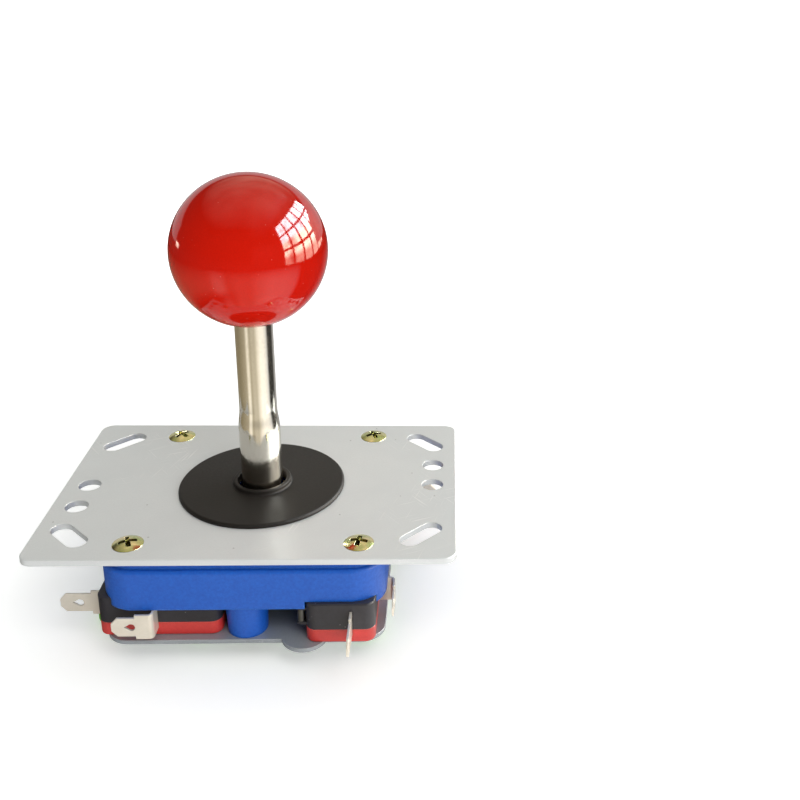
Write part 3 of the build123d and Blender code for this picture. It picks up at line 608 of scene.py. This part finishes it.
def ball_profile(count=90):
    """The thread's hole and the flat, then R sin(a), z0 + R cos(a) from the flat's edge to the top."""
    first = math.pi - math.asin((flat_r + FLAT_ROUND) / ball_r)
    a = np.linspace(first, 0.0, count)
    arc = np.stack([ball_r * np.sin(a), ball_z + ball_r * np.cos(a)], axis=1)
    t = np.linspace(0, 1, 6)[:, None]
    inner, corner = np.array([flat_r - FLAT_ROUND, flat_z]), np.array([flat_r, flat_z])
    turn = (1 - t) ** 2 * inner + 2 * t * (1 - t) * corner + t ** 2 * arc[0]
    hole_top = flat_z + THREAD_DEPTH
    hole = np.array([[0.0, hole_top], [THREAD_R, hole_top], [THREAD_R, flat_z]])
    return np.concatenate([hole, turn, arc[1:]])


ball_mesh = mesh_from_grids("ball", [turned(ball_profile(), 160)])
add_piece("ball", ball_mesh, ball_red, "spindle", "ball_top")
print("ball radius", round(ball_r, 2), "at height", round(ball_z, 2))

# %% [markdown]
# The dust washer
#
# The washer is a thin moulded disc with a small collar that keeps dust off the pivot. One closed
# profile, turned, is the whole piece. The round where the collar rises is generous, as a mould's is,
# and it is what catches the light.

# %% Dust washer
low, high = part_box("dust_washer")
rim_r, washer_top = high.x / MM, high.z / MM
COLLAR_R = 7.05
COLLAR_WALL = 1.1
DISC_THICK = 1.0
BEVEL = 0.4
# Each corner is its radius, its height and its round.
washer_profile = rounded_profile([
    (COLLAR_R - COLLAR_WALL, 0.0, 0), (rim_r, 0.0, 0.1), (rim_r, DISC_THICK - BEVEL, 0.25),
    (rim_r - BEVEL, DISC_THICK, 0.3), (COLLAR_R, DISC_THICK, 0.8), (COLLAR_R, washer_top, 0.35),
    (COLLAR_R - COLLAR_WALL, washer_top, 0.3), (COLLAR_R - COLLAR_WALL, 0.0, 0)])
washer_mesh = mesh_from_grids("washer", [turned(washer_profile, 128)])
add_piece("washer", washer_mesh, black_washer, "frame", "dust_washer")

# %% [markdown]
# Slots and crosses
#
# The shaft's end has a screwdriver slot, and each screw's head a cross. A plain turned grid cuts such
# a form raggedly, because its columns run out from the middle while the walls of a slot run straight.
# So the columns are bent: inside an arm they keep their distance from the arm's middle line, and
# between two arms they share out the rest of the angle. A column on the wall is there twice, once
# down in the slot and once up on the face, and the quads between the two are the wall itself.

# %% Turned grids with arms cut in
# Stands for a radius of nothing, which can't be divided by.
SMALLEST_R = 1e-6


def armed_angles(radius, half_width, arms, inside=5, between=8):
    """Angles of the columns at each radius. In an arm: asin(s w / r), s from -1 to 1, at most half a
    sector. Between arms: even steps over what is left. Also says which columns are in an arm."""
    sector = 2 * np.pi / arms
    widest = np.sin(sector / 2)
    share = half_width / np.maximum(radius, SMALLEST_R)[:, None]
    in_arm = np.arcsin(np.clip(share * np.linspace(-1, 1, inside), -widest, widest))
    edge = in_arm[:, -1:]
    outside = edge + np.linspace(0, 1, between) * (sector - 2 * edge)
    one = np.concatenate([in_arm, outside], axis=1)
    angles = np.concatenate([one + k * sector for k in range(arms)], axis=1)
    return angles, np.tile(np.arange(inside + between) < inside, arms)


def cut_turned(profile, half_width, arms, reach, floor, turn_deg, side, at=(0.0, 0.0, 0.0)):
    """A turned grid with a slot or cross. In an arm, a point within reach of the axis moves to the floor's
    height if it lies beyond the floor, which is above it for side 1 and below it for side -1."""
    r, z = profile[:, 0], profile[:, 1]
    angles, in_arm = armed_angles(r, half_width, arms)
    sunk = in_arm[None, :] & ((r <= reach) & (side * (z - floor) > 0))[:, None]
    height = np.where(sunk, floor, z[:, None])
    angles = angles + math.radians(turn_deg)
    grid = np.stack([r[:, None] * np.cos(angles), r[:, None] * np.sin(angles), height], axis=-1)
    return grid + np.array(at)

# %% [markdown]
# The shaft
#
# One bar is turned to a thread, a neck, a long flare, the bearing part, a groove for the ring and a
# chamfered end with a slot. The flare has to be smooth, because plate shows every facet, so it is a
# cosine step with many rows. A bevel between two straight parts would show as a bright line. Below the
# plate a shoulder holds the pivot bush. Heights count from the plate's top face.

# %% Shaft
low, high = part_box("shaft")
shaft_end_z, thread_top_z = low.z / MM, high.z / MM
SHAFT_R = 5.0
NECK_R = 4.5
FLARE_Z = 16.0
NECK_Z = 22.0
SHOULDER_R = 6.2
SHOULDER_Z = (-3.15, -2.15)
RING_GROOVE_R = 4.4
RING_GROOVE_Z = (-26.2, -25.25)
END_CHAMFER = 0.8
END_ROWS = 8
THREAD_GAP = 0.05
SLOT_HALF = 0.45
SLOT_DEPTH = 1.2
SLOT_TURN_DEG = -23.3


def flare(count=28):
    """From the bearing part to the neck: radius R + (n - R)(1 - cos(pi t)) / 2 at z0 + t (z1 - z0)."""
    t = np.linspace(0, 1, count)
    radius = SHAFT_R + (NECK_R - SHAFT_R) * (1 - np.cos(np.pi * t)) / 2
    return np.stack([radius, FLARE_Z + t * (NECK_Z - FLARE_Z)], axis=1)


end_r = np.linspace(0, SHAFT_R - END_CHAMFER, END_ROWS)
end_face = np.stack([end_r, np.full(END_ROWS, shaft_end_z)], axis=1)
slot_floor = shaft_end_z + SLOT_DEPTH
below = np.array([
    (SHAFT_R, shaft_end_z + END_CHAMFER), (SHAFT_R, slot_floor),
    (SHAFT_R, RING_GROOVE_Z[0]), (RING_GROOVE_R, RING_GROOVE_Z[0]),
    (RING_GROOVE_R, RING_GROOVE_Z[1]), (SHAFT_R, RING_GROOVE_Z[1]),
    (SHAFT_R, SHOULDER_Z[0]), (SHOULDER_R, SHOULDER_Z[0]),
    (SHOULDER_R, SHOULDER_Z[1]), (SHAFT_R, SHOULDER_Z[1])])
stud_r = THREAD_R - THREAD_GAP
above = np.array([(NECK_R, flat_z), (stud_r, flat_z), (stud_r, thread_top_z), (0, thread_top_z)])
# The slot is two arms that run right across the end, so their reach is more than the radius.
shaft_grid = cut_turned(np.concatenate([end_face, below, flare(), above]), SLOT_HALF, arms=2,
                        reach=2 * SHAFT_R, floor=slot_floor, turn_deg=SLOT_TURN_DEG, side=-1)
shaft_mesh = mesh_from_grids("shaft_bar", [shaft_grid])
add_piece("shaft_bar", shaft_mesh, shaft_chrome, "spindle", "shaft")

# %% [markdown]
# The screws
#
# Four countersunk screws hold the plate, and eight pan-head ones hold the base plate and the gate.
# Each is a profile from the middle of its head to the tip of its shank, with a cross cut in. The floor
# of the cross slopes up at the ends of its arms, as the driver's tip does. Screws that are all turned
# the same way look unreal, so each stops at an angle of its own.

# %% Screws
CROSS_HALF = 0.55
CROSS_REACH = 2.1
CROSS_DEPTH = 1.0
CROSS_LEVEL_SHARE = 0.8
FIRST_STOP_DEG = 20.0
NEXT_STOP_DEG = 31.0
TIP_CHAMFER = 0.6


def head_rows(head_r, height_at):
    """Rows from the middle of a head to its rim, with one at each end of the slope in the arms."""
    inner = np.linspace(0, CROSS_REACH * CROSS_LEVEL_SHARE, 6)
    outer = np.linspace(CROSS_REACH, head_r, 12)
    r = np.concatenate([inner, outer])
    return np.stack([r, height_at(r)], axis=1)


def cross_screws(profile, places, floor, side):
    """A grid for each place, each stopped at its own turn: the first stop, and one step more each time."""
    return [cut_turned(profile, CROSS_HALF, arms=4, reach=CROSS_REACH * CROSS_LEVEL_SHARE, floor=floor,
                       turn_deg=FIRST_STOP_DEG + NEXT_STOP_DEG * i, side=side, at=at)
            for i, at in enumerate(places)]

# %% Countersunk screws
PLATE_HEAD_R = 3.5
PLATE_SHANK_R = 1.7
PLATE_SINK = 1.286
RIM_INSET = 0.02
RIM_DROP = 0.08


def countersunk_profile(head_r, dome, shank_r, sink, length):
    """The head is a dome of height d (1 - (r / R)^2), then a cone goes down to the shank."""
    head = head_rows(head_r, lambda r: dome * (1 - (r / head_r) ** 2))
    return np.concatenate([head, [
        (head_r - RIM_INSET, -RIM_DROP), (shank_r, -sink), (shank_r, -length + TIP_CHAMFER),
        (shank_r - TIP_CHAMFER, -length), (0, -length)]])


low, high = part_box("plate_screws")
plate_at = high.x / MM - PLATE_HEAD_R
dome = high.z / MM
corners = [(sx * plate_at, sy * plate_at, 0.0) for sx in (-1, 1) for sy in (-1, 1)]
plate_profile = countersunk_profile(PLATE_HEAD_R, dome, PLATE_SHANK_R, PLATE_SINK, -low.z / MM)
plate_screws = mesh_from_grids("plate_screw_set", cross_screws(
    plate_profile, corners, floor=dome - CROSS_DEPTH, side=1))
add_piece("plate_screw_set", plate_screws, yellow_zinc, "frame", "plate_screws")

# %% Pan-head screws
PAN_HEAD_R = 3.0
PAN_SHANK_R = 1.45
PAN_FALL = 0.75
PAN_POWER = 6
BASE_HEAD = 2.2
GATE_HEAD = 1.6
GATE_LENGTH = 6.5


def pan_profile(head_r, head_height, shank_r, length):
    """The head hangs from its seat: its face is -h (1 - fall (r / R)^power), and the shank goes up."""
    head = head_rows(head_r, lambda r: -head_height * (1 - PAN_FALL * (r / head_r) ** PAN_POWER))
    return np.concatenate([head, [
        (head_r, 0), (shank_r, 0), (shank_r, length - TIP_CHAMFER),
        (shank_r - TIP_CHAMFER, length), (0, length)]])


low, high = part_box("base_screws")
base_at = high.x / MM - PAN_HEAD_R
seat = low.z / MM + BASE_HEAD
sides = [(0.0, -1.0), (1.0, 0.0), (0.0, 1.0), (-1.0, 0.0)]
base_profile = pan_profile(PAN_HEAD_R, BASE_HEAD, PAN_SHANK_R, high.z / MM - seat)
base_screws = mesh_from_grids("base_screw_set", cross_screws(
    base_profile, [(base_at * x, base_at * y, seat) for x, y in sides],
    floor=CROSS_DEPTH - BASE_HEAD, side=-1))
add_piece("base_screw_set", base_screws, nickel, "frame", "base_screws")

low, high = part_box("gate_screws")
gate_at = high.x / MM - PAN_HEAD_R
# The screws to the right and left seat higher than those at the front and back.
x_seat = high.z / MM - GATE_LENGTH
y_seat = low.z / MM + GATE_HEAD
gate_places = [(gate_at, 0, x_seat), (0, gate_at, y_seat), (-gate_at, 0, x_seat), (0, -gate_at, y_seat)]
gate_profile = pan_profile(PAN_HEAD_R, GATE_HEAD, PAN_SHANK_R, GATE_LENGTH)
gate_screws = mesh_from_grids("gate_screw_set", cross_screws(
    gate_profile, gate_places, floor=CROSS_DEPTH - GATE_HEAD, side=-1))
add_piece("gate_screw_set", gate_screws, nickel, "frame", "gate_screws")

# %% [markdown]
# Floor
#
# The photograph is a cut-out on white, so the floor has to meet a white surround without an edge. A
# white floor under lamps alone turns grey in the distance. So this one also glows, weakly by the
# object, where its shadow and its reflected light belong, and fully further out. From below it is
# clear, so that the underside can be looked at.

# %% Floor
FLOOR_Z = cad_low.z / MM
FLOOR_R = 6000.0
# Distances from the middle, in metres, between which the glow rises from its low to its full value.
GLOW_FROM, GLOW_TO = 0.05, 0.30
GLOW_LOW, GLOW_FULL = 0.34, 1.0


def flat_ring(inner, outer, z, rows=24):
    """Point (i, j) lies at radius inner (outer / inner)^(i / rows) and angle j, at one height."""
    r = inner * (outer / inner) ** (np.arange(rows + 1) / rows)
    return turned(np.stack([r, np.full(rows + 1, z)], axis=1))


def stage_piece(name, mesh, material, seen_by_camera=True):
    """A piece of the studio. Without seen_by_camera, only light and reflections find it."""
    piece = bpy.data.objects.new(name, mesh)
    bpy.context.scene.collection.objects.link(piece)
    mesh.materials.append(material)
    piece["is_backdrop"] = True
    piece.visible_camera = seen_by_camera
    print("stage:", name, "has", len(mesh.polygons), "faces")
    return piece


floor_white, tree, shader = new_material("floor_white", {
    "Base Color": grey(0.88), "Roughness": 1.0, "Specular IOR Level": 0.0, "Emission Strength": 1.0})
place = add_node(tree, "TexCoord")["Object"]
away = add_node(tree, "VectorMath", {0: place}, operation="LENGTH")["Value"]
glow = ramp(tree, away, GLOW_FROM, GLOW_TO, GLOW_LOW, GLOW_FULL)
set_sockets(tree, shader, {"Emission Color": mix_colour(tree, glow, grey(0.0), grey(1.0))})
from_below = add_node(tree, "NewGeometry")["Backfacing"]
clear = add_node(tree, "BsdfTransparent")[0]
one_sided = add_node(tree, "MixShader", {0: from_below, 1: shader.outputs[0], 2: clear})[0]
tree.links.new(one_sided, tree.nodes["Material Output"].inputs["Surface"])
floor_mesh = mesh_from_grids("floor", [flat_ring(1.0, FLOOR_R, FLOOR_Z)])
if floor_mesh.polygons[0].normal.z < 0:
    floor_mesh.flip_normals()
floor = stage_piece("floor", floor_mesh, floor_white)
floor.visible_glossy = False

# %% [markdown]
# What the shaft reflects
#
# A plated shaft is a mirror, and what can be seen on it is the room. In the photograph pale and dark
# stretches run along it. Lamps alone would leave it nearly black, and a picture of a room would be an
# image file. So the stretches are a flat ring on the floor that only reflections see. Its tone changes
# with the angle round the shaft, and a Color Ramp node holds the tones.

# %% Ring on the floor, for reflections
CAMERA_SIDE_DEG = math.degrees(math.atan2(CAMERA_AT_MM[1], CAMERA_AT_MM[0]))
RING_IN, RING_OUT, RING_LIFT = 40.0, 430.0, 0.5
# Each tone has its angle from the camera's side, growing to the right, its grey value and its warmth.
RING_TONES = [
    (-180, 0.30, 0.12), (-120, 0.24, 0.18), (-90, 0.32, 0.16), (-62, 0.46, 0.13), (-51, 1.10, 0.07),
    (-43, 1.10, 0.07), (-33, 0.46, 0.13), (-20, 0.64, 0.10), (-2, 0.62, 0.10), (12, 1.05, 0.07),
    (30, 1.40, 0.04), (52, 1.30, 0.03), (68, 0.95, 0.0), (76, 0.03, 0.0), (124, 0.05, 0.0),
    (145, 0.35, 0.0), (178, 0.9, 0.0)]

room_ring, tree, shader = new_material("room_ring", {
    "Base Color": grey(0.0), "Roughness": 1.0, "Specular IOR Level": 0.0, "Emission Strength": 1.0})
place = add_node(tree, "TexCoord")["Object"]
turned_place = add_node(tree, "Mapping", {
    "Vector": place, "Rotation": (0, 0, math.radians(-CAMERA_SIDE_DEG))})[0]
around = add_node(tree, "TexGradient", {"Vector": turned_place}, gradient_type="RADIAL")["Fac"]
tones = tree.nodes.new("ShaderNodeValToRGB")
while len(tones.color_ramp.elements) < len(RING_TONES):
    tones.color_ramp.elements.new(0.5)
for stop, (angle, value, warm) in zip(tones.color_ramp.elements, RING_TONES):
    stop.position = (angle + 180) / 360
    stop.color = grey(value, warm)
tree.links.new(around, tones.inputs["Fac"])
# The ring fades outwards, and at the left it is dark close to the object, which shades it there. The
# distances are in metres, as Object coordinates are.
distance = add_node(tree, "VectorMath", {0: place}, operation="LENGTH")["Value"]
across = add_node(tree, "SeparateXYZ", {0: place})["X"]
shaded = times(tree, ramp(tree, distance, 0.12, 0.085), ramp(tree, across, -0.01, -0.05, 0.0, 0.9))
faded = ramp(tree, distance, 0.42, 0.17)
lit = add_node(tree, "Math", {0: faded, 1: shaded}, operation="SUBTRACT", use_clamp=True)[0]
set_sockets(tree, shader, {"Emission Color": mix_colour(tree, lit, grey(0.0), tones.outputs["Color"])})
ring_mesh = mesh_from_grids("room_ring", [flat_ring(RING_IN, RING_OUT, FLOOR_Z + RING_LIFT)])
ring_piece = stage_piece("room_ring", ring_mesh, room_ring, seen_by_camera=False)
ring_piece.visible_diffuse = False
ring_piece.visible_shadow = False
ring_piece.visible_transmission = False

# %% [markdown]
# What the ball reflects
#
# The ball shows a window with bars at the right, a wide warm ceiling above and a pale wall behind. A
# lamp would be a plain patch, so the window is a grid of bright panes, dimmer at its foot and blotted
# where something stands before it. Cards stand in for the ceiling and the wall. None of these lights
# the object, so each can be as bright as its reflection needs.

# %% Window of bright panes
WINDOW_AT = (1000.0, 420.0, 420.0)
WINDOW_SIZE = (2000.0, 1200.0)
PANES = (6, 3)
BAR = 30.0
FAR_PANE_Y = (270.0, 430.0)
FAR_PANE_Z = (-25.0, 45.0)


def pane(x, y_ends, z_ends):
    """A flat pane in the plane across X: point (i, j) is x, end i of its span in Y, end j of that in Z."""
    y, z = np.array(y_ends)[:, None], np.array(z_ends)[None, :]
    return np.stack(np.broadcast_arrays(x, y, z), axis=-1)


def pane_ends(axis, number):
    """The ends of a pane along the window's width (0) or height (1), with a bar left at each."""
    size = WINDOW_SIZE[axis] / PANES[axis]
    start = WINDOW_AT[1 + axis] - WINDOW_SIZE[axis] / 2 + number * size
    return start + BAR, start + size - BAR


window_sky, tree, shader = new_material("window_sky", {
    "Base Color": grey(0.0), "Emission Strength": 24.0})
place = add_node(tree, "TexCoord")["Object"]
height = add_node(tree, "SeparateXYZ", {0: place})["Z"]
sky = ramp(tree, height, 0.0, 0.12, 0.25, 1.0)
blots = add_node(tree, "TexNoise", {"Vector": place, "Scale": 3.5, "Detail": 3.0})["Fac"]
glow = times(tree, sky, ramp(tree, blots, 0.36, 0.56, 0.3, 1.0))
tint = mix_colour(tree, ramp(tree, height, 0.36, 0.48), (1.0, 0.86, 0.68, 1), (0.86, 0.94, 1.0, 1))
set_sockets(tree, shader, {"Emission Color": mix_colour(tree, glow, grey(0.0), tint)})
panes = [pane(WINDOW_AT[0], pane_ends(0, column), pane_ends(1, row))
         for column in range(PANES[0]) for row in range(PANES[1])]
# One small pane at the other side of the room gives the glint at the ball's left.
panes.append(pane(-WINDOW_AT[0], FAR_PANE_Y, FAR_PANE_Z))
window_mesh = mesh_from_grids("window", panes, closed=False)
window = stage_piece("window", window_mesh, window_sky, seen_by_camera=False)
window.visible_diffuse = False

# %% Ceiling and backdrop, for reflections
CARD_WIDTH = 3000.0
CEILING_Y, CEILING_Z, CEILING_DEPTH = -1200.0, 1200.0, 3600.0
BACKDROP_Y, BACKDROP_HEIGHT = 700.0, 380.0


def card(name, corner, along, up):
    """A flat card: point (i, j) is corner + i along + j up, for i and j of 0 and 1."""
    i = np.array([0, 1])[:, None, None]
    j = np.array([0, 1])[None, :, None]
    return mesh_from_grids(name, [np.array(corner) + i * np.array(along) + j * np.array(up)], closed=False)


ceiling_glow, tree, shader = new_material("ceiling_glow", {
    "Base Color": grey(0.0), "Emission Strength": 0.95})
place = add_node(tree, "TexCoord")["Object"]
axes = add_node(tree, "SeparateXYZ", {0: place})
sideways = add_node(tree, "Math", {0: axes["X"]}, operation="ABSOLUTE")[0]
patchy = add_node(tree, "TexNoise", {"Vector": place, "Scale": 2.2, "Detail": 4.0})["Fac"]
glow = times(tree, ramp(tree, axes["Y"], -1.15, 0.1), ramp(tree, sideways, 1.5, 0.3))
glow = times(tree, glow, ramp(tree, patchy, 0.35, 0.65, 0.6, 1.0))
set_sockets(tree, shader, {"Emission Color": mix_colour(tree, glow, grey(0.0), (1.0, 0.92, 0.72, 1))})
backdrop_glow = new_material("backdrop_glow", {
    "Base Color": grey(0.0), "Emission Color": grey(0.6), "Emission Strength": 1.0})[0]
across = (CARD_WIDTH, 0, 0)
ceiling = card("ceiling", (-CARD_WIDTH / 2, CEILING_Y, CEILING_Z), across, (0, CEILING_DEPTH, 0))
backdrop = card("backdrop", (-CARD_WIDTH / 2, BACKDROP_Y, FLOOR_Z), across, (0, 0, BACKDROP_HEIGHT))
for mesh, material in ((ceiling, ceiling_glow), (backdrop, backdrop_glow)):
    glowing = stage_piece(mesh.name, mesh, material, seen_by_camera=False)
    glowing.visible_diffuse = False
    glowing.visible_shadow = False

# %% [markdown]
# The light itself
#
# Three soft lights do the lighting: a very wide one overhead, a key light at the front right, and a
# low fill that reaches under the plate. They show in no reflection, because what reflects is built
# above. The surround is white to the camera alone, and to everything else it is nearly black, so the
# white round the object doesn't wash out its sides.

# %% Lights
def add_light(name, place_mm, aim_mm, size_mm, power, colour=(1, 1, 1)):
    """A rectangular soft light at a place, turned towards an aim, that shows in no reflection."""
    data = bpy.data.lights.new(name, "AREA")
    data.shape = "RECTANGLE"
    data.size, data.size_y = size_mm[0] * MM, size_mm[1] * MM
    data.energy = power
    data.color = colour
    lamp = bpy.data.objects.new(name, data)
    lamp.location = [v * MM for v in place_mm]
    lamp.rotation_euler = (Vector(aim_mm) - Vector(place_mm)).to_track_quat("-Z", "Y").to_euler()
    lamp.visible_glossy = False
    bpy.context.scene.collection.objects.link(lamp)
    print("light", name, "has", power, "watts")


MIDDLE = (0, 0, 0)
add_light("overhead", place_mm=(100, 300, 1200), aim_mm=(100, 300, 0), size_mm=(2600, 2700), power=20.0,
          colour=(0.97, 1.0, 0.97))
add_light("key", place_mm=(400, -650, 900), aim_mm=MIDDLE, size_mm=(500, 500), power=3.0)
add_light("front_fill", place_mm=(550, -800, 220), aim_mm=MIDDLE, size_mm=(700, 400), power=4.0)

# %% Surround
world = bpy.data.worlds.new("surround")
bpy.context.scene.world = world
world.use_nodes = True
tree = world.node_tree
seen_straight = add_node(tree, "LightPath")["Is Camera Ray"]
surround = mix_colour(tree, seen_straight, grey(0.05, 0.1), grey(1.0))
set_sockets(tree, tree.nodes["Background"], {"Color": surround, "Strength": 1.0})
print(world.name, "has", len(tree.nodes), "nodes")

# %% [markdown]
# Sizes and the end
#
# The new pieces are meant to keep the size of the imported model, so the growth of the box over the
# model's box, printed at the start, is printed here.

# %% Finish
new_low, new_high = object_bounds()
grown = [round((a - b) / MM, 2) for a, b in zip((*new_low, *new_high), (*cad_low, *cad_high))]
print("grown by mm:", grown)
